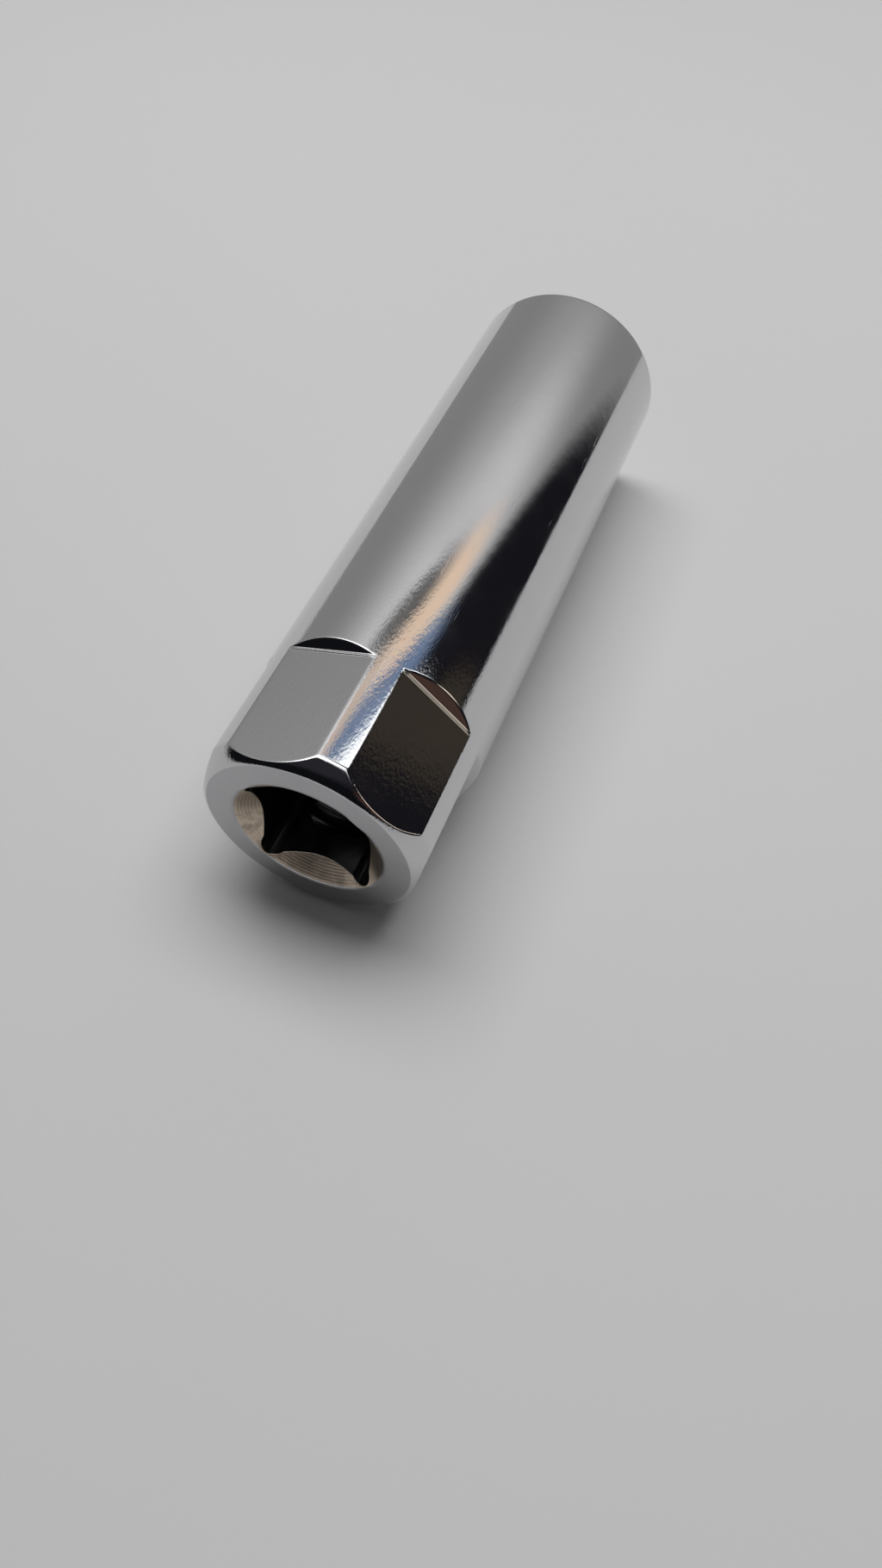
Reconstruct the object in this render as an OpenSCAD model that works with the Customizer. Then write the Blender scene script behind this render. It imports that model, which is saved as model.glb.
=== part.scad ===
// Spark plug socket: a one-piece steel body and the rubber sleeve that grips the plug.
// It stands on its plug end, with the axis along +Z and the drive end up. Millimetres.

/* [Barrel] */

// Outside diameter of the barrel
barrel_d = 20.6; // [20:0.1:24]
// Length over both ends
body_len = 66; // [60:0.5:90]
// Edge round of the rim at the plug end
rim_round = 0.5; // [0.2:0.1:0.6]

/* [Drive end] */

// How far the end chamfer cuts in from the barrel
end_chamfer_in = 0.72; // [0.4:0.02:1.2]
// Height of the end chamfer along the axis
end_chamfer_h = 1.15; // [0.6:0.05:2]
// How far the bevel beside it cuts into the drive face
face_bevel_in = 0.48; // [0.2:0.02:0.8]
// Height of that bevel along the axis
face_bevel_h = 0.25; // [0.1:0.05:0.5]
// Width across the drive square
drive_af = 9.75; // [9.6:0.05:10]
// Depth of the drive square below the drive face
drive_depth = 11.5; // [10:0.5:14]
// Radius of the drive square's relieved corners
drive_corner = 1.2; // [0.5:0.1:1.5]
// How far the relieved corners reach past the sides of the square
drive_relief = 0.15; // [0:0.05:0.3]
// Diameter of the countersink at the drive face
mouth_d = 13.4; // [12.5:0.1:15]
// Included angle of the countersink
mouth_angle = 100; // [80:1:120]
// Distance of the ball groove below the drive face
recess_drop = 5.7; // [4:0.1:7]
// Width of the ball groove
recess_w = 3.2; // [2:0.1:4]
// Depth of the ball groove in the middle of a side
recess_depth = 0.9; // [0.3:0.1:1]

/* [Wrench flats] */

// Number of wrench flats
flats_count = 6; // [4:2:8]
// Width across the wrench flats
flats_af = 18.95; // [18.4:0.05:19.8]
// Length of the flats from the drive face
flats_len = 12; // [8:0.5:20]
// Slope of the step walls against the axis
step_angle = 48; // [30:1:80]
// Turn of the flats from the drive square
flats_turn = 14.75; // [0:0.25:30]

/* [Plug end] */

// Width across the plug hex
hex_af = 16.1; // [15.9:0.05:16.4]
// Depth of the plug hex from the rim
hex_depth = 24; // [16:0.5:28]
// How far the lead-in reaches past the hex corners
lead_in = 0.1; // [0.05:0.05:0.2]
// Diameter of the cavity behind the hex
cavity_d = 15.9; // [14.5:0.1:16.5]
// Thickness of the web between cavity and drive square
web_t = 3.5; // [2:0.5:6]
// Diameter of the bore through the web
web_bore_d = 8.8; // [6:0.1:9.5]
// Included angle of the cavity's end
cavity_angle = 118; // [90:1:150]

/* [Rubber insert] */

// Length of the insert
insert_len = 18.5; // [14:0.5:20]
// Distance of the insert behind the hex
insert_setback = 0.5; // [0.2:0.1:2]
// Bore that grips the plug's insulator
insert_bore_d = 9.6; // [8.5:0.1:11]
// How far the lead-in flares past the bore
insert_flare_in = 1.6; // [0.5:0.1:2.2]
// Height of the lead-in flare
insert_flare_h = 3; // [1:0.5:5]
// Width of the grip flutes
flute_w = 1.4; // [0.8:0.1:1.8]
// Number of grip flutes
flute_count = 4; // [2:1:5]
// Height of the retaining groove above the insert's lower end
groove_rise = 5.5; // [2:0.5:8]
// Width of the retaining groove
groove_w = 4; // [2:0.5:5]
// Depth of the retaining groove in the cavity wall
groove_depth = 0.75; // [0.4:0.05:1]
// Clearance of the insert in its seat
insert_gap = 0.1; // [0.05:0.05:0.2]
// Edge break of the insert
insert_edge = 0.6; // [0.2:0.1:1]

/* [Hidden] */

barrel_r = barrel_d / 2;
bevel_r = barrel_r - end_chamfer_in;
face_r = bevel_r - face_bevel_in;
hex_corner_r = hex_af / sqrt(3);
lead_r = hex_corner_r + lead_in;
cavity_r = cavity_d / 2;
web_bore_r = web_bore_d / 2;
cavity_top = body_len - drive_depth - web_t;
cavity_cone_h = (cavity_r - web_bore_r) / tan(cavity_angle / 2);
recess_r = (pow(recess_w / 2, 2) + pow(recess_depth, 2)) / (2 * recess_depth);
insert_z = hex_depth + insert_setback;
insert_top = insert_z + insert_len;
insert_r = cavity_r - insert_gap;
insert_bore_r = insert_bore_d / 2;
groove_z = insert_z + groove_rise;
groove_r = cavity_r + groove_depth;
bead_r = groove_r - insert_gap;
bead_top = groove_z + groove_w - insert_gap;
// Overshoot that keeps cuts clear of the faces they open
over = 1;
// Number of sides of round shapes
round_fn = 96;
steel = [0.80, 0.80, 0.82];
rubber = [0.06, 0.06, 0.06];

// Half section of the turned blank
module blank_profile() {
    difference() {
        polygon([
            [0, 0],
            [barrel_r, 0],
            [barrel_r, body_len - face_bevel_h - end_chamfer_h],
            [bevel_r, body_len - face_bevel_h],
            [face_r, body_len],
            [0, body_len]
        ]);
        translate([barrel_r - rim_round, 0])
            difference() {
                square(rim_round);
                translate([0, rim_round]) circle(rim_round, $fn = round_fn);
            }
    }
}

// One cut for each wrench flat, with its sloped step wall
module wrench_flat_cuts() {
    flat_r = flats_af / 2;
    flat_z = body_len - flats_len;
    reach = barrel_r;
    for (i = [0 : flats_count - 1])
        rotate(flats_turn + i * 360 / flats_count)
            rotate([90, 0, 0])
                linear_extrude(barrel_d, center = true)
                    polygon([
                        [flat_r, flat_z],
                        [flat_r + reach, flat_z - reach / tan(step_angle)],
                        [flat_r + reach, body_len + over],
                        [flat_r, body_len + over]
                    ]);
}

// Square prism with round corners that reach past its sides by the relief
module relieved_square(af, corner_r, relief, h) {
    inner = af + 2 * relief - 2 * corner_r;
    translate([-af / 2, -inner / 2, 0]) cube([af, inner, h]);
    translate([-inner / 2, -af / 2, 0]) cube([inner, af, h]);
    for (x = [-1, 1], y = [-1, 1])
        translate([x * inner / 2, y * inner / 2, 0]) cylinder(h = h, r = corner_r, $fn = round_fn);
}

// Drive square, its countersink and the ball groove, which bites into the middle of each side
module drive_cut() {
    half_angle = mouth_angle / 2;
    cone_h = mouth_d / 2 / tan(half_angle);
    translate([0, 0, body_len - drive_depth])
        relieved_square(drive_af, drive_corner, drive_relief, drive_depth + over);
    translate([0, 0, body_len - cone_h])
        cylinder(h = cone_h + over, r1 = 0, r2 = (cone_h + over) * tan(half_angle), $fn = round_fn);
    translate([0, 0, body_len - recess_drop])
        rotate_extrude($fn = round_fn)
            intersection() {
                translate([drive_af / 2 + recess_depth - recess_r, 0]) circle(recess_r, $fn = round_fn);
                translate([drive_af / 2 - over, -recess_w]) square([drive_af, 2 * recess_w]);
            }
}

// Plug hex with its lead-in, cavity, groove and web bore
module plug_cut() {
    translate([0, 0, -over])
        rotate(30) cylinder(h = hex_depth + over, r = hex_corner_r, $fn = 6);
    translate([0, 0, -over])
        cylinder(h = lead_r + over, r1 = lead_r + over, r2 = 0, $fn = round_fn);
    translate([0, 0, hex_depth - over])
        cylinder(h = cavity_top - cavity_cone_h - hex_depth + over, r = min(cavity_r, hex_af / 2), $fn = round_fn);
    translate([0, 0, hex_depth])
        cylinder(h = cavity_top - cavity_cone_h - hex_depth, r = cavity_r, $fn = round_fn);
    translate([0, 0, cavity_top - cavity_cone_h])
        cylinder(h = cavity_cone_h, r1 = cavity_r, r2 = web_bore_r, $fn = round_fn);
    translate([0, 0, groove_z]) cylinder(h = groove_w, r = groove_r, $fn = round_fn);
    translate([0, 0, cavity_top - over]) cylinder(h = web_t + 2 * over, r = web_bore_r, $fn = round_fn);
}

module socket_body() {
    color(steel)
        difference() {
            rotate_extrude($fn = round_fn) blank_profile();
            wrench_flat_cuts();
            drive_cut();
            plug_cut();
        }
}

// Half section of the rubber sleeve, with its bead and lead-in flare
module insert_profile() {
    polygon([
        [insert_bore_r + insert_flare_in, insert_z],
        [insert_r - insert_edge, insert_z],
        [insert_r, insert_z + insert_edge],
        [insert_r, groove_z],
        [bead_r, groove_z],
        [bead_r, bead_top],
        [insert_r, bead_top],
        [insert_r, insert_top - insert_edge],
        [insert_r - insert_edge, insert_top],
        [insert_bore_r, insert_top],
        [insert_bore_r, insert_z + insert_flare_h]
    ]);
}

module rubber_insert() {
    color(rubber)
        difference() {
            rotate_extrude($fn = round_fn) insert_profile();
            for (i = [0 : flute_count - 1])
                rotate((i + 0.5) * 360 / flute_count)
                    translate([insert_bore_r, 0, insert_z - over])
                        cylinder(h = insert_len + 2 * over, d = flute_w, $fn = round_fn);
        }
}

socket_body();
rubber_insert();
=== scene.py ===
"""Spark plug socket: the plated steel body, its rubber insert and the studio round them.

The part stands on its plug end with the axis along +Z. In the studio the socket lies on its side, so the
stage's own axes are turned about the part: stage up is close to +X, stage forward is -Z and stage side is
close to +Y.
"""
import math
from typing import NamedTuple

import bpy
import numpy as np
from mathutils import Matrix, Vector


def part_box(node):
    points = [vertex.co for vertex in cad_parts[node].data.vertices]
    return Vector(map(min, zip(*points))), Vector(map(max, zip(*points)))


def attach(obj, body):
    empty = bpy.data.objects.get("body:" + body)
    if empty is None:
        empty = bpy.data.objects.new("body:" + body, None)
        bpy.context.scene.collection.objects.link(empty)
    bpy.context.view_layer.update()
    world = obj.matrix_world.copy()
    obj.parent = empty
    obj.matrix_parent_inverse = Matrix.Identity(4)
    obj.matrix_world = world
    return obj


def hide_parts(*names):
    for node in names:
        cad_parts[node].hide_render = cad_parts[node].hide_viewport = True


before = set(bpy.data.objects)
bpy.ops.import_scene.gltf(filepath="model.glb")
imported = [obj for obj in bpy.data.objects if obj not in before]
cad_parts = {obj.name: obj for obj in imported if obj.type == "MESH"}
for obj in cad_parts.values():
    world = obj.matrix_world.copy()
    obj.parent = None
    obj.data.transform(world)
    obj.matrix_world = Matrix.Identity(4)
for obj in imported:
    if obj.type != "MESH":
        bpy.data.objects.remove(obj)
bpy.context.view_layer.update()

bl_info = {
    "name": "Spark Plug Socket",
    "version": (1, 0, 0),
    "blender": (4, 5, 0),
    "location": "View3D > Sidebar > Socket",
    "description": "Builds a plated spark plug socket with its rubber insert and a studio stage",
    "category": "Object",
}

BODY_LOW, BODY_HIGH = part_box("socket_body")
INSERT_LOW, INSERT_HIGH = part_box("rubber_insert")
MM = 0.001
MICRON = 0.000001
# Columns of every grid, spread evenly round the axis
STEPS_ROUND = 600
# The largest share of a straight that a corner's round takes
ROUND_SHARE = 0.45
# Distance of a straight's outer rows from its ends, and the largest share of the straight that it takes
CLOSE_ROW = 0.08 * MM
CLOSE_SHARE = 0.2
# Round of an edge that looks sharp, and of a moulded edge
FINE_ROUND = 0.05 * MM
SOFT_ROUND = 0.3 * MM
# Sides of the drive square, and of the wrench flats and the plug hex
SQUARE_SIDES = 4
HEX_SIDES = 6
# Flutes in the insert's bore, and the turn of the first from +X
FLUTES = 4
FLUTE_TURN = math.pi / 4
# Rings of the crowned end chamfer
CROWN_RINGS = 6
# Shares of the edge break at the step walls' upper edges, the drive square's mouth and the plug hex's lead-in
STEP_EDGE = 0.7
SINK_EDGE = 0.4
LEAD_EDGE = 0.6
# Least height of a step wall, and the ledge's largest share of the step's depth
SHORTEST_STEP = 0.15 * MM
LEDGE_SHARE = 0.4
# Material slots of the steel body
PLATE, FACE, WARM, DULL = range(4)


def length(name, description, default):
    """A length property in metres, written in millimetres."""
    return bpy.props.FloatProperty(
        name=name,
        description=description,
        default=default * MM,
        precision=5,
        unit="LENGTH",
        subtype="DISTANCE",
    )


def angle(name, description, default):
    """An angle property, written in degrees."""
    return bpy.props.FloatProperty(
        name=name, description=description, default=math.radians(default), unit="ROTATION", subtype="ANGLE"
    )


def colour(name, description, default):
    """A linear colour property."""
    return bpy.props.FloatVectorProperty(
        name=name, description=description, default=default, size=3, min=0.0, max=1.0, subtype="COLOR"
    )


class SocketSizes(bpy.types.PropertyGroup):
    """Sizes of the steel body: those of the part's solids, and fine rounds that the solids leave out."""

    barrel_d: length("Barrel diameter", "Outside diameter of the barrel", (BODY_HIGH.x - BODY_LOW.x) / MM)
    body_len: length("Length", "Length over both ends", (BODY_HIGH.z - BODY_LOW.z) / MM)
    rim_round: length("Rim round", "Edge round of the rim at the plug end", 0.5)
    end_in: length("End depth", "How far the crowned end chamfer cuts in from the barrel", 1.2)
    end_h: length("End height", "Height of the crowned end chamfer", 1.5)
    crown_in: length("Crown depth", "Depth of the crown's guide point in from the barrel", 0.68)
    crown_drop: length("Crown drop", "Distance of the crown's guide point below the drive face", 0.24)
    drive_af: length("Drive square", "Width across the drive square", 9.75)
    drive_depth: length("Drive depth", "Depth of the drive square", 11.5)
    drive_corner: length("Drive corner", "Radius of the drive square's relieved corners", 1.2)
    drive_relief: length("Drive relief", "How far the corners reach past the sides of the square", 0.15)
    mouth_d: length("Mouth", "Diameter of the countersink at the drive face", 13.4)
    mouth_angle: angle("Mouth angle", "Included angle of the countersink", 100)
    recess_drop: length("Ball groove drop", "Distance of the ball groove below the drive face", 5.7)
    recess_w: length("Ball groove width", "Width of the ball groove", 3.2)
    recess_depth: length("Ball groove depth", "Depth of the ball groove in the middle of a side", 0.9)
    flats_af: length("Wrench flats", "Width across the wrench flats", 18.95)
    flats_len: length("Flats length", "Length of the flats from the drive face", 12)
    step_angle: angle("Step slope", "Slope of the step walls against the axis", 48)
    flats_turn: angle("Flats turn", "Turn of the flats from the drive square", 14.75)
    hex_af: length("Plug hex", "Width across the plug hex", 16.1)
    hex_corner: length("Hex corner", "Corner radius of the plug hex", 0.25)
    hex_depth: length("Hex depth", "Depth of the plug hex", 24)
    lead_in: length("Lead-in", "How far the lead-in reaches past the hex corners", 0.1)
    cavity_d: length("Cavity", "Diameter of the cavity behind the hex", 15.9)
    cavity_angle: angle("Cavity end", "Included angle of the cavity's end", 118)
    web_t: length("Web", "Thickness of the web under the drive square", 3.5)
    web_bore_d: length("Web bore", "Diameter of the bore through the web", 8.8)
    edge_blend: length("Land blend", "Width over which a flat rolls into its land", 0.22)
    mouth_roll: length("Mouth roll", "Width over which the drive face rolls into the countersink", 0.3)
    step_fillet: length("Step fillet", "Fillet between a flat and its step wall", 0.14)
    ledge_w: length("Ledge width", "Width of the cutter's ledge at the foot of a step wall", 0.2)
    ledge_h: length("Ledge height", "Height of the cutter's ledge above its flat", 0.07)
    edge_break: length("Edge break", "Polished break of the drive end's edges", 0.17)


class InsertSizes(bpy.types.PropertyGroup):
    """Sizes of the rubber insert, as in the part's solids."""

    bore_d: length("Bore", "Bore that grips the plug", 9.6)
    flare_in: length("Flare", "How far the lead-in flares past the bore", 1.6)
    flare_h: length("Flare height", "Height of the lead-in flare", 3)
    flute_w: length("Flute", "Width of a grip flute", 1.4)
    groove_rise: length("Groove rise", "Height of the groove above the insert's lower end", 5.5)
    groove_w: length("Groove width", "Width of the retaining groove", 4)
    groove_depth: length("Groove depth", "Depth of the retaining groove", 0.75)
    gap: length("Clearance", "Clearance of the insert in its seat", 0.1)
    edge: length("Edge break", "Edge break of the insert", 0.6)


class Finishes(bpy.types.PropertyGroup):
    """Colours of the finishes."""

    chrome: colour("Chrome", "Polished chrome plate", (0.64, 0.643, 0.655))
    face: colour("Drive face", "Turned and plated drive face", (0.48, 0.48, 0.495))
    countersink: colour("Countersink", "Thin warm plate in the countersink", (0.76, 0.64, 0.515))
    inner: colour("Inner walls", "Thin plate in the drive square and the plug end", (0.47, 0.465, 0.47))
    rubber: colour("Rubber", "Black rubber", (0.018, 0.018, 0.019))
    floor: colour("Floor", "Pale studio floor", (0.77, 0.765, 0.765))
    backdrop: colour("Backdrop", "Pale backdrop behind the socket", (0.60, 0.595, 0.60))


class StageSizes(bpy.types.PropertyGroup):
    """Places of the floor, the camera and the lamp in the stage's axes, and the strengths of the light."""

    floor_turn: angle("Floor turn", "Turn of stage up from +X about the socket's axis", -1.27)
    floor_size: length("Floor size", "Side of the square floor", 900)
    fade_from: length("Fade start", "Distance from the part's origin at which the floor fades", 190)
    fade_to: length("Fade end", "Distance from the part's origin at which the floor is gone", 270)
    camera_height: length("Camera height", "Height of the camera above the floor", 83.43)
    camera_side: length("Camera side", "Place of the camera to the side of the axis", -27.0)
    camera_back: length("Camera back", "Distance of the camera behind the drive face", 38.08)
    camera_pitch: angle("Camera pitch", "How far the camera looks down", 55.17)
    camera_heading: angle("Camera heading", "Turn of the camera's view from the socket's axis", 21.93)
    camera_lens: bpy.props.FloatProperty(
        name="Lens", description="Focal length of the camera", default=24.44, unit="CAMERA"
    )
    lamp_height: length("Lamp height", "Height of the overhead lamp above the floor", 480)
    lamp_side: length("Lamp side", "Place of the overhead lamp to the side of the socket", 30)
    lamp_ahead: length("Lamp ahead", "Place of the overhead lamp ahead of the socket", 130)
    lamp_across: length("Lamp width", "Size of the overhead lamp across the socket", 620)
    lamp_along: length("Lamp depth", "Size of the overhead lamp along the socket", 240)
    lamp_power: bpy.props.FloatProperty(
        name="Lamp power", description="Power of the overhead lamp", default=1.97, unit="POWER"
    )
    fill: bpy.props.FloatProperty(
        name="Fill", description="Even light of the room on matt surfaces", default=0.15
    )


# Grid surfaces

def turn_angles():
    """Even steps of the angle round the axis, one for each column of a grid."""
    return np.arange(STEPS_ROUND) * (2 * math.pi / STEPS_ROUND)


def from_side(theta, sides, turn):
    """The angle from the middle of the nearest side of a regular polygon, in plus or minus half a side."""
    pitch = 2 * math.pi / sides
    return (theta - turn + pitch / 2) % pitch - pitch / 2


def smooth_min(a, b, blend):
    """The smaller of a and b, rounded off by a parabola where they differ by less than blend."""
    near = np.maximum(blend - np.abs(a - b), 0) / blend
    return np.minimum(a, b) - near * near * blend / 4


def polygon_radius(theta, across, sides, turn, corner, relief=0.0):
    """Distance from the axis to a regular polygon whose round corners reach past its sides by the relief.

    On a side it is half the width over the cosine of the angle from the side's middle. In a corner it is
    where a ray leaves the corner's circle, whose centre lies on the line to the corner.
    """
    half = math.pi / sides
    apothem = across / 2
    phi = from_side(theta, sides, turn)
    inset = apothem + relief - corner
    centre = inset / math.cos(half)
    off = half - np.abs(phi)
    under = corner**2 - (centre * np.sin(off)) ** 2
    arc = np.where(under > 0, centre * np.cos(off) + np.sqrt(np.maximum(under, 0)), 0)
    side_end = math.atan2(inset * math.tan(half), apothem)
    return np.where(np.abs(phi) <= side_end, np.maximum(apothem / np.cos(phi), arc), arc)


def crowned_end(radius, start, guide, end):
    """Rings of the crowned chamfer from where it leaves a given radius at each angle up to the drive face.

    The crown is a parabola over the start, guide and end points of the section. Its share at the given radius
    is a root of a quadratic, and the rings stand at even shares from there to the end.
    """
    a = start[0] - 2 * guide[0] + end[0]
    b = 2 * (guide[0] - start[0])
    first = (-b - np.sqrt(np.maximum(b * b - 4 * a * (start[0] - radius), 0))) / (2 * a)
    share = first + (1 - first) * np.linspace(0, 1, CROWN_RINGS)[:, None]
    weights = np.stack([(1 - share) ** 2, 2 * share * (1 - share), share**2], axis=2)
    return list(weights @ np.array([start, guide, end]))


def ring(radius, height):
    """One corner of the section at every angle: a column of radii and a column of heights."""
    full = np.zeros(STEPS_ROUND)
    return np.stack([full + radius, full + height], axis=1)


class Corner(NamedTuple):
    """A corner of a section, with the rows of its round and of the straight after it, and their slot."""

    ring: np.ndarray
    rounding: float
    round_rows: int
    straight_rows: int
    slot: int = 0


def carried_section(corners):
    """A closed section carried round the axis, with each corner rounded.

    A corner's round is a parabola that leaves the two straights at the rounding's length from the corner, or
    at a share of the shorter straight where that is less. Each straight has a row close to both its ends,
    which keeps the shading of the straight true. The result has one row for each step along the section and
    one column for each angle, and says which corner each row belongs to: the first half of a round goes with
    the straight before it.
    """
    points = np.array([corner.ring for corner in corners])
    onward = np.roll(points, -1, axis=0) - points
    run = np.linalg.norm(onward, axis=2)
    along = onward / run[:, :, None]
    rounding = np.array([corner.rounding for corner in corners])[:, None]
    trim = np.minimum(rounding, ROUND_SHARE * np.minimum(run, np.roll(run, 1, axis=0)))
    rows, owner = [], []
    for i, corner in enumerate(corners):
        after = (i + 1) % len(corners)
        p, t = points[i], trim[i][:, None]
        start, end = p - along[i - 1] * t, p + along[i] * t
        for s in np.linspace(0, 1, corner.round_rows):
            rows.append((1 - s) ** 2 * start + 2 * s * (1 - s) * p + s * s * end)
            owner.append(i if s > 0.5 else i - 1)
        goal = points[after] - along[i] * trim[after][:, None]
        left = np.linalg.norm(goal - end, axis=1)[:, None]
        close = np.minimum(CLOSE_ROW / left, CLOSE_SHARE)
        for s in np.linspace(0, 1, corner.straight_rows):
            rows.append(end + (goal - end) * (close + (1 - 2 * close) * s))
            owner.append(i)
    return np.array(rows), np.array(owner) % len(corners)


def lathe_mesh(name, rows, slots):
    """A mesh of the closed grid of rows: each radius and height becomes a point at its column's angle."""
    theta = turn_angles()
    radius, height = rows[:, :, 0], rows[:, :, 1]
    xyz = np.stack([radius * np.cos(theta), radius * np.sin(theta), height], axis=2)
    count, columns = radius.shape
    row, column = np.meshgrid(np.arange(count), np.arange(columns), indexing="ij")
    here, above = row * columns, (row + 1) % count * columns
    right = (column + 1) % columns
    faces = np.stack([here + column, here + right, above + right, above + column], axis=2).reshape(-1, 4)
    mesh = bpy.data.meshes.new(name)
    mesh.vertices.add(count * columns)
    mesh.vertices.foreach_set("co", xyz.astype(np.float32).ravel())
    mesh.loops.add(faces.size)
    mesh.loops.foreach_set("vertex_index", faces.astype(np.int32).ravel())
    mesh.polygons.add(len(faces))
    mesh.polygons.foreach_set("loop_start", np.arange(0, faces.size, 4, dtype=np.int32))
    mesh.polygons.foreach_set("material_index", np.repeat(slots, columns).astype(np.int32))
    mesh.polygons.foreach_set("use_smooth", np.ones(len(faces), bool))
    mesh.update(calc_edges=True)
    mesh.validate()
    return mesh


def add_piece(name, mesh, materials, node):
    """Puts a finished mesh into the scene as the piece that stands for a node of the frame."""
    piece = bpy.data.objects.new(name, mesh)
    bpy.context.scene.collection.objects.link(piece)
    for material in materials:
        mesh.materials.append(material)
    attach(piece, "root")
    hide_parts(node)


# Materials

class Nodes:
    """A node tree with short calls to add and link nodes."""

    def __init__(self, tree):
        self.tree = tree
        tree.nodes.clear()

    def add(self, kind, settings=None, **sockets):
        """A node of the kind, with its settings and its inputs by name, each a value or a link."""
        node = self.tree.nodes.new(kind)
        for key, value in (settings or {}).items():
            setattr(node, key, value)
        for key, value in sockets.items():
            self.put(node, key.replace("_", " "), value)
        return node

    def put(self, node, key, value):
        """Sets or links one input, found by its name or its number."""
        socket = node.inputs[key]
        if isinstance(value, bpy.types.NodeSocket):
            self.tree.links.new(value, socket)
        else:
            socket.default_value = value

    def feed(self, node, *values):
        """Sets or links a node's first inputs in order."""
        for number, value in enumerate(values):
            self.put(node, number, value)
        return node

    def math(self, operation, a, b=0.0):
        """One Math node."""
        node = self.add("ShaderNodeMath", {"operation": operation})
        return self.feed(node, a, b).outputs[0]

    def vector(self, operation, a, b=(0.0, 0.0, 0.0), output="Value"):
        """One Vector Math node."""
        node = self.add("ShaderNodeVectorMath", {"operation": operation})
        return self.feed(node, a, b).outputs[output]

    def weighted(self, *terms):
        """The sum of pairs of a value and its weight."""
        total = 0.0
        for value, weight in terms:
            total = self.math("ADD", total, self.math("MULTIPLY", value, weight))
        return total

    def ramp(self, value, low, high, to_low=0.0, to_high=1.0):
        """A smooth step of value from low to high."""
        node = self.add("ShaderNodeMapRange", {"interpolation_type": "SMOOTHSTEP"})
        return self.feed(node, value, low, high, to_low, to_high).outputs[0]

    def mapped(self, place, scale, turn=(0.0, 0.0, 0.0)):
        """Coordinates turned and scaled by a Mapping node."""
        return self.add("ShaderNodeMapping", Vector=place, Scale=scale, Rotation=turn).outputs[0]

    def noise(self, place, scale, detail=2.0, rough=0.5):
        """A Noise texture; scale is one over the size of its spots in metres."""
        node = self.add("ShaderNodeTexNoise", Vector=place, Scale=scale, Detail=detail, Roughness=rough)
        return node.outputs[0]

    def mix(self, factor, a, b):
        """A mix of two colours, which are the Mix node's inputs 6 and 7 and its output 2."""
        node = self.add("ShaderNodeMix", {"data_type": "RGBA"})
        self.put(node, 0, factor)
        self.put(node, 6, a)
        self.put(node, 7, b)
        return node.outputs[2]

    def mix_shader(self, factor, a, b):
        """A mix of two shaders."""
        return self.feed(self.add("ShaderNodeMixShader"), factor, a, b).outputs[0]

    def bump(self, height, distance):
        """A Bump node at full strength."""
        return self.add("ShaderNodeBump", Height=height, Distance=distance).outputs[0]

    def end(self, kind, shader):
        """Ends the tree with an output node of the kind."""
        self.add(kind, Surface=shader)


def rgba(values):
    """Four colour channels from three."""
    return (values[0], values[1], values[2], 1.0)


def material_nodes(name):
    """A new material, its nodes and the object's own coordinates."""
    material = bpy.data.materials.new(name)
    material.use_nodes = True
    nodes = Nodes(material.node_tree)
    place = nodes.add("ShaderNodeTexCoord").outputs["Object"]
    return material, nodes, place


def finish_material(nodes, **sockets):
    """Ends a material with one Principled shader."""
    shader = nodes.add("ShaderNodeBsdfPrincipled", **sockets)
    nodes.end("ShaderNodeOutputMaterial", shader.outputs[0])


def tinted(nodes, base, amount, factor):
    """The base colour, darker by the amount where factor is 1."""
    return nodes.mix(factor, rgba(base), rgba([c * (1 - amount) for c in base]))


def from_axis(nodes, place):
    """The distance from the socket's axis."""
    flat = nodes.vector("MULTIPLY", place, (1.0, 1.0, 0.0), output="Vector")
    return nodes.vector("LENGTH", flat)


def along_axis(nodes, place):
    """The height along the socket's axis."""
    return nodes.add("ShaderNodeSeparateXYZ", Vector=place).outputs["Z"]


# Heights over which the plate's ripples grow towards the drive end, and radii over which the milled flats end
DRIVE_END = (34 * MM, 56 * MM)
MILLED_EDGE = (10.12 * MM, 10.27 * MM)


def chrome_plate(base):
    """Bright chrome with faint wiping marks, fine ripples, a slow swell and a few short scratches.

    The ripples are stronger at the drive end. The milled flats, which lie inside the barrel's radius, are
    dappled too.
    """
    material, nodes, place = material_nodes("chrome_plate")
    smudge = nodes.noise(place, scale=170.0, detail=3.0, rough=0.6)
    ripple = nodes.noise(nodes.mapped(place, (1.0, 1.0, 0.35)), scale=6500.0, rough=0.55)
    slanted = nodes.mapped(place, (2600.0, 2600.0, 320.0), turn=(0.35, 0.2, 0.0))
    scratches = nodes.ramp(nodes.noise(slanted, scale=1.0, detail=1.0), 0.70, 0.76)
    swell = nodes.noise(place, scale=620.0, detail=1.0)
    dapple = nodes.noise(place, scale=1700.0, rough=0.6)
    drive_end = nodes.ramp(along_axis(nodes, place), *DRIVE_END)
    milled = nodes.math("MULTIPLY", drive_end, nodes.ramp(from_axis(nodes, place), *MILLED_EDGE, 1.0, 0.0))
    relief = nodes.weighted(
        (ripple, nodes.math("ADD", nodes.math("MULTIPLY", drive_end, 3.8), 1.0)),
        (scratches, -1.4),
        (swell, 2.2),
        (dapple, nodes.math("MULTIPLY", milled, 3.2)),
    )
    finish_material(
        nodes,
        Base_Color=tinted(nodes, base, amount=0.06, factor=smudge),
        Metallic=1.0,
        Roughness=nodes.ramp(smudge, 0.35, 0.75, to_low=0.045, to_high=0.10),
        Normal=nodes.bump(relief, 1.6 * MICRON),
    )
    return material


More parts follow.
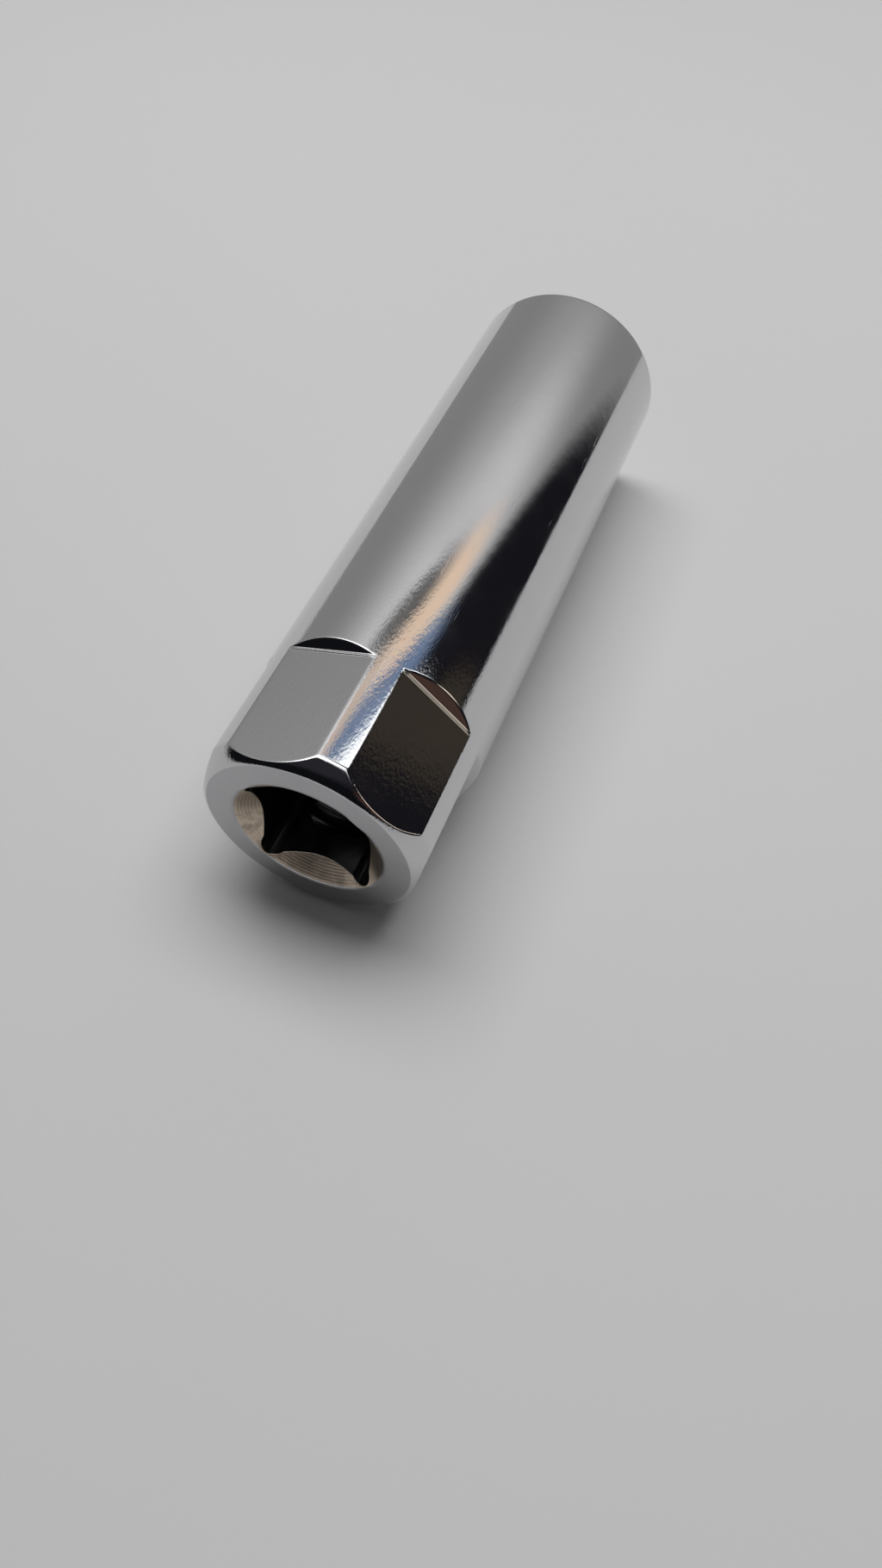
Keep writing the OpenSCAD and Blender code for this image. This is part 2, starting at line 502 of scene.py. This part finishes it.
def ring_marks(nodes, place, pitch):
    """Fine turned rings: a sine of the distance from the axis, broken up by noise."""
    wave = nodes.math("SINE", nodes.math("MULTIPLY", from_axis(nodes, place), 2 * math.pi / pitch))
    return nodes.math("ADD", wave, nodes.noise(place, scale=2200.0))


def drive_face_plate(base):
    """Satin turned face under the plate."""
    material, nodes, place = material_nodes("drive_face_plate")
    rings = ring_marks(nodes, place, pitch=0.14 * MM)
    cloud = nodes.noise(place, scale=320.0, detail=3.0, rough=0.6)
    finish_material(
        nodes,
        Base_Color=tinted(nodes, base, amount=0.12, factor=cloud),
        Metallic=1.0,
        Roughness=nodes.ramp(cloud, 0.3, 0.8, to_low=0.11, to_high=0.17),
        Normal=nodes.bump(rings, 1.2 * MICRON),
    )
    return material


# Painted shade on the countersink: dark patches in its colour that stand in for its dark reflections of the
# drive square's inside, the room behind the camera and the floor's shadow.
# Centre and reach in millimetres, and strength. Left, low and right are as seen from the drive end with +X up
SHADE_PATCHES = {
    "left_painted_shade": ((2.0, 5.2, 65.0), 3.4, 0.42),
    "low_painted_shade": ((-5.4, 1.4, 65.0), 2.4, 0.35),
    "right_painted_shade": ((-0.1, -6.0, 65.5), 4.9, 1.0),
}
# How far noise frays the edge of a patch
PATCH_FRAY = 1.6 * MM


def countersink_plate(base):
    """Satin warm plate of the countersink, with cutter marks, faint clouds and three patches of painted shade
    that stand in for its dark reflections.
    """
    material, nodes, place = material_nodes("countersink_plate")
    rings = ring_marks(nodes, place, pitch=0.22 * MM)
    cloud = nodes.noise(place, scale=700.0, detail=4.0, rough=0.65)
    fray = nodes.math("MULTIPLY", cloud, PATCH_FRAY)
    dark = nodes.math("MULTIPLY", nodes.ramp(cloud, 0.42, 0.68), 0.40)
    # Each patch is painted shade: it darkens the plate's colour where the wall mirrors dark surroundings
    for centre, reach, strength in SHADE_PATCHES.values():
        away = nodes.vector("DISTANCE", place, [c * MM for c in centre])
        near = nodes.math("ADD", away, fray)
        patch = nodes.ramp(near, reach / 2 * MM, reach * MM, to_low=strength, to_high=0.0)
        dark = nodes.math("MAXIMUM", dark, patch)
    finish_material(
        nodes,
        Base_Color=tinted(nodes, base, amount=0.85, factor=dark),
        Metallic=1.0,
        Roughness=nodes.ramp(cloud, 0.3, 0.8, to_low=0.42, to_high=0.52),
        Normal=nodes.bump(rings, 4 * MICRON),
    )
    return material


# Heights between which painted shade darkens the inner walls towards the drive square
DRIVE_SQUARE_SHADE = (46 * MM, 54 * MM)


def inner_wall_plate(base):
    """Dull, lightly plated inner walls with broaching marks along the axis and faint clouds, darkened by
    painted shade towards and in the drive square.
    """
    material, nodes, place = material_nodes("inner_wall_plate")
    streaks = nodes.noise(nodes.mapped(place, (1.0, 1.0, 0.06)), scale=3000.0, detail=3.0, rough=0.6)
    cloud = nodes.noise(place, scale=240.0, detail=3.0, rough=0.6)
    # Random clouds, and painted shade that darkens the walls up the axis towards the drive square
    cloud_and_shade = nodes.math("MAXIMUM", cloud, nodes.ramp(along_axis(nodes, place), *DRIVE_SQUARE_SHADE))
    finish_material(
        nodes,
        Base_Color=tinted(nodes, base, amount=0.45, factor=cloud_and_shade),
        Metallic=1.0,
        Roughness=nodes.ramp(streaks, 0.3, 0.7, to_low=0.21, to_high=0.26),
        Normal=nodes.bump(streaks, 0.4 * MICRON),
    )
    return material


def rubber_skin(base):
    """Matt moulded rubber with a fine grain and a little dust."""
    material, nodes, place = material_nodes("rubber_skin")
    grain = nodes.noise(place, scale=5200.0, detail=3.0, rough=0.6)
    dust = nodes.ramp(nodes.noise(place, scale=420.0, detail=4.0, rough=0.65), 0.52, 0.80)
    dusty = [c * 3.0 + 0.01 for c in base]
    finish_material(
        nodes,
        Base_Color=nodes.mix(dust, rgba(base), rgba(dusty)),
        Roughness=nodes.ramp(grain, 0.3, 0.7, to_low=0.55, to_high=0.72),
        Normal=nodes.bump(grain, 10 * MICRON),
    )
    return material


# The socket's pieces

def grooved(rows, sizes):
    """Turns the ball groove into the walls of the drive square.

    The groove's section is an arc of a circle. At each height it has one radius round the axis, and a wall
    point moves out to that radius where the wall stands inside it, which is in the middle of each side.
    """
    half, deep = sizes.recess_w / 2, sizes.recess_depth
    arc = (half**2 + deep**2) / (2 * deep)
    centre = sizes.drive_af / 2 + deep - arc
    drop = rows[:, :, 1] - (sizes.body_len - sizes.recess_drop)
    rows[:, :, 0] = np.maximum(rows[:, :, 0], centre + np.sqrt(np.maximum(arc**2 - drop**2, 0)))
    return rows


def outside_corners(s):
    """Corners of the body's outside, from the rim at the plug end over the flats to the drive face."""
    top, barrel, edge = s.body_len, s.barrel_d / 2, s.edge_break
    # The radius is the smaller of the barrel's and the flat's, which is half the width over a cosine. The two
    # blend over half the roll's width, taken as an angle, times the growth of the flat's radius at the land
    phi = from_side(turn_angles(), HEX_SIDES, s.flats_turn)
    apothem = s.flats_af / 2
    land = math.acos(apothem / barrel)
    growth = apothem * math.tan(land) / math.cos(land)
    blend = growth * (s.edge_blend / 2) / barrel
    flat = smooth_min(np.full(STEPS_ROUND, barrel), apothem / np.cos(phi), blend)
    # The step wall slopes from the flat's foot out to the barrel, with the cutter's ledge at its own foot
    foot = top - s.flats_len
    slope = math.tan(s.step_angle)
    step = np.maximum((barrel * np.cos(phi) - apothem) / slope, SHORTEST_STEP)
    ledge = np.minimum(s.ledge_h, LEDGE_SHARE * (barrel - flat))
    ledge_z = foot - ledge / slope
    ledge_top = ledge_z + s.ledge_w
    ledge_end = np.maximum(ledge / slope, FINE_ROUND)
    guide = (barrel - s.crown_in, top - s.crown_drop)
    crown = crowned_end(flat, (barrel, top - s.end_h), guide, (barrel - s.end_in, top))
    return [
        Corner(ring(barrel, 0), s.rim_round, 7, 4, PLATE),
        Corner(ring(barrel, foot - step), edge * STEP_EDGE, 4, 2, PLATE),
        Corner(ring(flat + ledge, ledge_z), s.step_fillet, 5, 1, PLATE),
        Corner(ring(flat + ledge, ledge_top), FINE_ROUND, 3, 1, PLATE),
        Corner(ring(flat, ledge_top + ledge_end), s.step_fillet, 4, 4, PLATE),
        Corner(crown[0], edge, 5, 2, PLATE),
        *(Corner(crown_ring, s.end_h, 3, 1, PLATE) for crown_ring in crown[1:-1]),
        Corner(crown[-1], edge, 4, 3, FACE),
    ]


def drive_corners(s):
    """Corners from the countersink's edge down the drive square to the bore in its floor."""
    top, edge = s.body_len, s.edge_break
    square = polygon_radius(turn_angles(), s.drive_af, SQUARE_SIDES, 0.0, s.drive_corner, s.drive_relief)
    mouth = s.mouth_d / 2
    # The countersink's cone meets the square's wall lower where the wall is nearer the axis
    sink = top - (mouth - square) / math.tan(s.mouth_angle / 2)
    drive_floor = top - s.drive_depth
    ball_low = top - s.recess_drop - s.recess_w / 2
    return [
        Corner(ring(mouth, top), s.mouth_roll, 7, 4, WARM),
        Corner(ring(square, sink), edge * SINK_EDGE, 4, 2, DULL),
        Corner(ring(square, ball_low + s.recess_w), FINE_ROUND, 2, 18, DULL),
        Corner(ring(square, ball_low), FINE_ROUND, 2, 2, DULL),
        Corner(ring(square, drive_floor), edge, 3, 2, DULL),
        Corner(ring(s.web_bore_d / 2, drive_floor), edge, 3, 2, DULL),
    ]


def plug_corners(s, insert):
    """Corners from the lower end of the web's bore through the cavity and the plug hex down to the rim."""
    edge = s.edge_break
    cavity, bore = s.cavity_d / 2, s.web_bore_d / 2
    cavity_top = s.body_len - s.drive_depth - s.web_t
    cone_foot = cavity_top - (cavity - bore) / math.tan(s.cavity_angle / 2)
    groove = cavity + insert.groove_depth
    groove_low = INSERT_LOW.z + insert.groove_rise
    groove_top = groove_low + insert.groove_w
    hexagon = polygon_radius(turn_angles(), s.hex_af, HEX_SIDES, 0.0, s.hex_corner)
    # The lead-in is a cone of 45 degrees, so it rises as much as it closes in
    lead = s.hex_af / math.sqrt(3) + s.lead_in
    return [
        Corner(ring(bore, cavity_top), edge, 2, 2, DULL),
        Corner(ring(cavity, cone_foot), edge, 2, 2, DULL),
        Corner(ring(cavity, groove_top), FINE_ROUND, 2, 2, DULL),
        Corner(ring(groove, groove_top), FINE_ROUND, 2, 2, DULL),
        Corner(ring(groove, groove_low), FINE_ROUND, 2, 2, DULL),
        Corner(ring(cavity, groove_low), FINE_ROUND, 2, 2, DULL),
        Corner(ring(cavity, s.hex_depth), edge, 2, 2, DULL),
        Corner(ring(hexagon, s.hex_depth), edge, 2, 3, DULL),
        Corner(ring(hexagon, lead - hexagon), edge * LEAD_EDGE, 3, 2, PLATE),
        Corner(ring(lead, 0), edge * LEAD_EDGE, 4, 2, PLATE),
    ]


class SOCKET_OT_body(bpy.types.Operator):
    """Builds the plated steel body with its flats, drive square, plug hex and cavity"""

    bl_idname = "socket.body"
    bl_label = "Steel Body"

    def execute(self, context):
        scene = context.scene
        sizes, finishes = scene.socket_sizes, scene.socket_finishes
        corners = outside_corners(sizes) + drive_corners(sizes) + plug_corners(sizes, scene.insert_sizes)
        slots = [corner.slot for corner in corners]
        rows, owner = carried_section(corners)
        # The second dull corner begins the stretch of the drive square's wall that the ball groove cuts
        wall = owner == slots.index(DULL) + 1
        rows[wall] = grooved(rows[wall], sizes)
        materials = [
            chrome_plate(finishes.chrome),
            drive_face_plate(finishes.face),
            countersink_plate(finishes.countersink),
            inner_wall_plate(finishes.inner),
        ]
        mesh = lathe_mesh("plated_body", rows, np.array(slots)[owner])
        add_piece("plated_body", mesh, materials, "socket_body")
        return {"FINISHED"}


class SOCKET_OT_insert(bpy.types.Operator):
    """Builds the rubber insert with its bead, flare and grip flutes"""

    bl_idname = "socket.insert"
    bl_label = "Rubber Insert"

    def execute(self, context):
        scene = context.scene
        s = scene.insert_sizes
        low, high = INSERT_LOW.z, INSERT_HIGH.z
        outer = scene.socket_sizes.cavity_d / 2 - s.gap
        bead = outer + s.groove_depth
        bead_low = low + s.groove_rise
        bead_top = bead_low + s.groove_w - s.gap
        bore = s.bore_d / 2
        # A flute is a round groove on the bore's own circle: the ray leaves its circle further out
        phi = from_side(turn_angles(), FLUTES, FLUTE_TURN)
        inside = (s.flute_w / 2) ** 2 - (bore * np.sin(phi)) ** 2
        fluted = np.where(inside > 0, bore * np.cos(phi) + np.sqrt(np.maximum(inside, 0)), bore)
        fluted = np.maximum(fluted, bore)
        flare = np.maximum(fluted, bore + s.flare_in)
        corners = [
            Corner(ring(flare, low), SOFT_ROUND, 4, 2),
            Corner(ring(outer, low), s.edge, 5, 2),
            Corner(ring(outer, bead_low), FINE_ROUND, 2, 2),
            Corner(ring(bead, bead_low), SOFT_ROUND, 3, 2),
            Corner(ring(bead, bead_top), SOFT_ROUND, 3, 2),
            Corner(ring(outer, bead_top), FINE_ROUND, 2, 3),
            Corner(ring(outer, high), s.edge, 5, 2),
            Corner(ring(fluted, high), SOFT_ROUND, 4, 4),
            Corner(ring(fluted, low + s.flare_h), SOFT_ROUND, 4, 4),
        ]
        rows, _ = carried_section(corners)
        mesh = lathe_mesh("grip_insert", rows, np.zeros(len(rows), int))
        materials = [rubber_skin(scene.socket_finishes.rubber)]
        add_piece("grip_insert", mesh, materials, "rubber_insert")
        return {"FINISHED"}


# The stage

def stage_axes(turn):
    """Stage side, forward and up, as directions of the part's frame; side is to the left of a look forward."""
    up = Vector((math.cos(turn), math.sin(turn), 0.0))
    forward = Vector((0.0, 0.0, -1.0))
    return up.cross(forward), forward, up


def pale_floor(base, fade_from, fade_to):
    """Pale floor that fades out far from the socket and is clear from below, so that it never hides it."""
    material, nodes, place = material_nodes("pale_floor")
    cloud = nodes.noise(place, scale=14.0, detail=4.0, rough=0.6)
    shade = tinted(nodes, base, amount=0.03, factor=cloud)
    matt = nodes.add("ShaderNodeBsdfPrincipled", Base_Color=shade, Roughness=0.85)
    clear = nodes.add("ShaderNodeBsdfTransparent")
    below = nodes.add("ShaderNodeNewGeometry").outputs["Backfacing"]
    gone = nodes.math("MAXIMUM", nodes.ramp(nodes.vector("LENGTH", place), fade_from, fade_to), below)
    nodes.end("ShaderNodeOutputMaterial", nodes.mix_shader(gone, matt.outputs[0], clear.outputs[0]))
    return material


class Card(NamedTuple):
    """A soft oval of the room, with its centre and half size in side and forward shares of the direction.

    slant turns its long side in degrees, edge is how soft its edge is, and light is its colour as light.
    """

    centre: tuple
    half: tuple
    slant: float
    edge: float
    light: tuple


# The room as light: a dome that brightens with height, a glow low ahead, a dark side and a dark wall
DOME_LEVEL = 0.295
DOME_RISE = 1.83
DOME_POWER = 4.5
DOME_TINT = (1.0, 0.99, 0.985)
GLOW_LEVEL = 0.765
GLOW_CARD = Card((-0.19, 0.725), (0.22, 0.07), 0.0, 0.9, tuple(GLOW_LEVEL * c for c in DOME_TINT))
BEHIND_LIGHT = (0.006, 0.0065, 0.008)
WALL_LIGHT = (0.011, 0.0105, 0.0135)
BLACK = (0.0, 0.0, 0.0)
# Weights of side and forward that give the dark side and the wall, and the shares over which edges fade
BEHIND_WEIGHTS = (-0.25, 1.0)
BEHIND_EDGE = (-0.42, -0.26)
WALL_WEIGHTS = (-0.6, -0.8)
WALL_EDGE = (-0.315, -0.235)
WALL_NEAR_END = (-0.1, 0.2)
WALL_SIDE_END = (-0.55, -0.42)
WALL_FOOT = (-0.16, -0.10)
HORIZON = (-0.02, 0.02)
# The soft cards above the horizon, in the order they lie over each other
CARDS = {
    "overhead_card": Card((0.16, 0.02), (0.58, 0.30), 0.0, 0.15, (2.1, 2.1, 2.1)),
    "camera_card": Card((0.05, -0.57), (0.50, 0.16), 0.0, 0.5, (0.028, 0.028, 0.033)),
    "red_card": Card((-0.63, -0.76), (0.16, 0.14), 0.0, 0.4, (0.080, 0.046, 0.036)),
    "brown_card": Card((-0.80, 0.57), (0.15, 0.045), 0.0, 0.32, (0.052, 0.043, 0.033)),
    "side_card": Card((-0.895, 0.09), (0.055, 0.27), 0.0, 0.3, (1.35, 1.18, 0.98)),
    "blue_card": Card((-0.18, 0.563), (0.26, 0.043), -14.0, 0.35, (0.19, 0.27, 0.43)),
    "warm_card": Card((-0.17, 0.645), (0.20, 0.048), -13.0, 0.4, (1.05, 0.79, 0.59)),
    "warm_end_card": Card((0.055, 0.555), (0.085, 0.050), -35.0, 0.45, (0.82, 0.65, 0.52)),
    "grey_strip": Card((0.05, 0.632), (0.20, 0.030), -12.0, 0.6, (0.16, 0.155, 0.15)),
    "window_card": Card((-0.37, 0.500), (0.24, 0.065), -10.0, 0.35, (1.9, 1.95, 2.0)),
}


def card_mask(nodes, side, forward, card):
    """1 inside a card's oval, falling smoothly to 0 across its edge."""
    c, s = math.cos(math.radians(card.slant)), math.sin(math.radians(card.slant))
    (x, y), (across, along) = card.centre, card.half
    u = nodes.weighted((side, c / across), (forward, s / across))
    v = nodes.weighted((forward, c / along), (side, -s / along))
    u = nodes.math("SUBTRACT", u, (c * x + s * y) / across)
    v = nodes.math("SUBTRACT", v, (c * y - s * x) / along)
    reach = nodes.math("SQRT", nodes.weighted((u, u), (v, v)))
    return nodes.ramp(reach, 1 - card.edge, 1 + card.edge, 1.0, 0.0)


def build_world(world, axes, backdrop, fill):
    """The studio room that the socket mirrors, with an even dome for matt surfaces and a plain backdrop."""
    world.use_nodes = True
    # The room looks different to each kind of ray, so it is not sampled as a lamp
    world.cycles.sampling_method = "NONE"
    nodes = Nodes(world.node_tree)
    direction = nodes.add("ShaderNodeTexCoord").outputs["Generated"]
    side, forward, up = (nodes.vector("DOT_PRODUCT", direction, axis) for axis in axes)
    # The dome and the glow low ahead
    rise = nodes.math("POWER", nodes.math("MAXIMUM", up, 0.0), DOME_POWER)
    level = nodes.math("ADD", nodes.math("MULTIPLY", rise, DOME_RISE), DOME_LEVEL)
    light = nodes.mix(level, rgba(BLACK), rgba(DOME_TINT))
    light = nodes.mix(card_mask(nodes, side, forward, GLOW_CARD), light, rgba(GLOW_CARD.light))
    # The dark side behind the camera, and the dark wall ahead to the right of the picture
    behind = nodes.ramp(nodes.weighted(*zip((side, forward), BEHIND_WEIGHTS)), *BEHIND_EDGE, 1.0, 0.0)
    light = nodes.mix(behind, light, rgba(BEHIND_LIGHT))
    wall = nodes.ramp(nodes.weighted(*zip((side, forward), WALL_WEIGHTS)), *WALL_EDGE)
    near_end = nodes.ramp(forward, *WALL_NEAR_END)
    side_end = nodes.ramp(side, *WALL_SIDE_END, 1.0, 0.0)
    wall = nodes.math("MULTIPLY", wall, nodes.math("MAXIMUM", near_end, side_end))
    wall = nodes.math("MULTIPLY", wall, nodes.ramp(up, *WALL_FOOT))
    light = nodes.mix(wall, light, rgba(WALL_LIGHT))
    above = nodes.ramp(up, *HORIZON)
    for card in CARDS.values():
        mask = nodes.math("MULTIPLY", card_mask(nodes, side, forward, card), above)
        light = nodes.mix(mask, light, rgba(card.light))
    # Matt surfaces take the even dome, mirroring ones the room, and the camera sees the backdrop
    even = nodes.mix(behind, rgba([fill] * 3), rgba(BLACK))
    path = nodes.add("ShaderNodeLightPath").outputs
    shown = nodes.add("ShaderNodeBackground", Color=light).outputs[0]
    for ray, seen in (("Is Diffuse Ray", even), ("Is Camera Ray", rgba(backdrop))):
        shown = nodes.mix_shader(path[ray], shown, nodes.add("ShaderNodeBackground", Color=seen).outputs[0])
    nodes.end("ShaderNodeOutputWorld", shown)


# Width of the camera's sensor, for which its focal length is given, and the distances between which it sees
SENSOR_WIDTH = 36.0
CLIP_START = 0.001
CLIP_END = 20.0


class SOCKET_OT_stage(bpy.types.Operator):
    """Sets up the pale floor, the overhead lamp, the room and the camera"""

    bl_idname = "socket.stage"
    bl_label = "Stage"

    def execute(self, context):
        scene = context.scene
        s, finishes = scene.stage_sizes, scene.socket_finishes
        side, forward, up = axes = stage_axes(s.floor_turn)
        under = -scene.socket_sizes.barrel_d / 2
        middle = Vector((0.0, 0.0, scene.socket_sizes.body_len / 2))

        # The floor's corners run so that its face looks up
        half = s.floor_size / 2
        corners = [middle + up * under + side * (half * i) + forward * (half * j)
                   for i, j in ((-1, -1), (-1, 1), (1, 1), (1, -1))]
        mesh = bpy.data.meshes.new("floor")
        mesh.from_pydata([tuple(corner) for corner in corners], [], [(0, 1, 2, 3)])
        mesh.materials.append(pale_floor(finishes.floor, s.fade_from, s.fade_to))
        floor = bpy.data.objects.new("floor", mesh)
        scene.collection.objects.link(floor)

        # The lamp is aimed at the socket's middle and is left out of reflections
        lamp_data = bpy.data.lights.new("overhead_lamp", "AREA")
        lamp_data.shape = "RECTANGLE"
        lamp_data.size = s.lamp_across
        lamp_data.size_y = s.lamp_along
        lamp_data.energy = s.lamp_power
        lamp = bpy.data.objects.new("overhead_lamp", lamp_data)
        lamp.visible_glossy = False
        away = up * (under + s.lamp_height) + side * s.lamp_side + forward * s.lamp_ahead
        aim = away.to_track_quat("Z", "Y").to_matrix().to_4x4()
        lamp.matrix_world = Matrix.Translation(middle + away) @ aim
        scene.collection.objects.link(lamp)

        scene.world = scene.world or bpy.data.worlds.new("room")
        build_world(scene.world, axes, finishes.backdrop, s.fill)
        scene.view_settings.view_transform = "Standard"

        camera_data = bpy.data.cameras.new("camera")
        camera_data.lens = s.camera_lens
        camera_data.sensor_width = SENSOR_WIDTH
        camera_data.clip_start = CLIP_START
        camera_data.clip_end = CLIP_END
        camera = bpy.data.objects.new("camera", camera_data)
        drive_face = Vector((0.0, 0.0, scene.socket_sizes.body_len))
        place = drive_face + up * (under + s.camera_height) + side * s.camera_side - forward * s.camera_back
        level = forward * math.cos(s.camera_heading) + side * math.sin(s.camera_heading)
        look = level * math.cos(s.camera_pitch) - up * math.sin(s.camera_pitch)
        right = look.cross(up).normalized()
        turned = Matrix((right, right.cross(look), -look)).transposed()
        camera.matrix_world = Matrix.Translation(place) @ turned.to_4x4()
        scene.collection.objects.link(camera)
        scene.camera = camera
        return {"FINISHED"}


class SOCKET_PT_panel(bpy.types.Panel):
    """Lists the socket's pieces and their sizes"""

    bl_idname = "SOCKET_PT_panel"
    bl_label = "Spark Plug Socket"
    bl_space_type = "VIEW_3D"
    bl_region_type = "UI"
    bl_category = "Socket"

    def draw(self, context):
        for operator in (SOCKET_OT_body, SOCKET_OT_insert, SOCKET_OT_stage):
            self.layout.operator(operator.bl_idname)
        for group in GROUPS:
            box = self.layout.box()
            settings = getattr(context.scene, group)
            for key in settings.bl_rna.properties.keys():
                if key not in ("rna_type", "name"):
                    box.prop(settings, key)


GROUPS = {
    "socket_sizes": SocketSizes,
    "insert_sizes": InsertSizes,
    "socket_finishes": Finishes,
    "stage_sizes": StageSizes,
}
CLASSES = (*GROUPS.values(), SOCKET_OT_body, SOCKET_OT_insert, SOCKET_OT_stage, SOCKET_PT_panel)


def register():
    for cls in CLASSES:
        bpy.utils.register_class(cls)
    for name, group in GROUPS.items():
        setattr(bpy.types.Scene, name, bpy.props.PointerProperty(type=group))


def unregister():
    for name in GROUPS:
        delattr(bpy.types.Scene, name)
    for cls in reversed(CLASSES):
        bpy.utils.unregister_class(cls)


def main():
    register()
    bpy.ops.socket.body()
    bpy.ops.socket.insert()
    bpy.ops.socket.stage()


if __name__ == "__main__":
    main()
